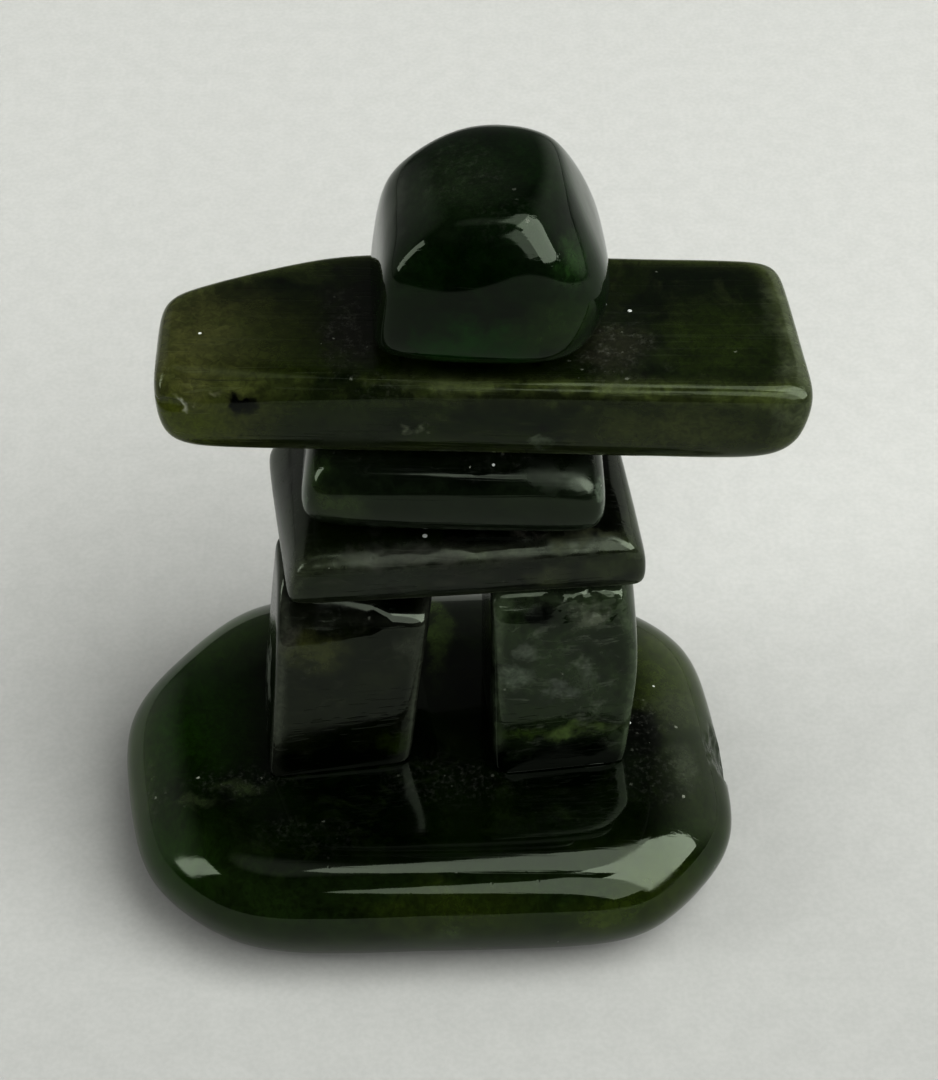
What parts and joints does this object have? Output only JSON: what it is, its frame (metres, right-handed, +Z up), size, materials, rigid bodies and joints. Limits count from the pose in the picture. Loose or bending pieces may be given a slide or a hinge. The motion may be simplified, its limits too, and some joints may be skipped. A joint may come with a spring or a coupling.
{
  "type": "inukshuk figure",
  "caption": "Small standing figure of polished dark green stones glued in a stack: pebble base, two legs, hip slab, chest slab, long arm bar and a rounded block head.",
  "frame": {"origin": "middle of the base stone's flat underside", "axes": "+Z up; the figure faces -Y, towards the picture's viewer; +X is the picture's right"},
  "size_m": [0.0737, 0.0522, 0.0833],
  "materials": {
    "base_stone": "polished",
    "leg_stone": "polished",
    "slab_stone": "polished",
    "arms_stone": "polished",
    "head_stone": "polished"
  },
  "bodies": {
    "root": {"base": "base_stone", "leg_left": "leg_stone", "leg_right": "leg_stone", "lower_slab": "slab_stone", "upper_slab": "slab_stone", "arms": "arms_stone", "head": "head_stone"}
  },
  "joints": []
}
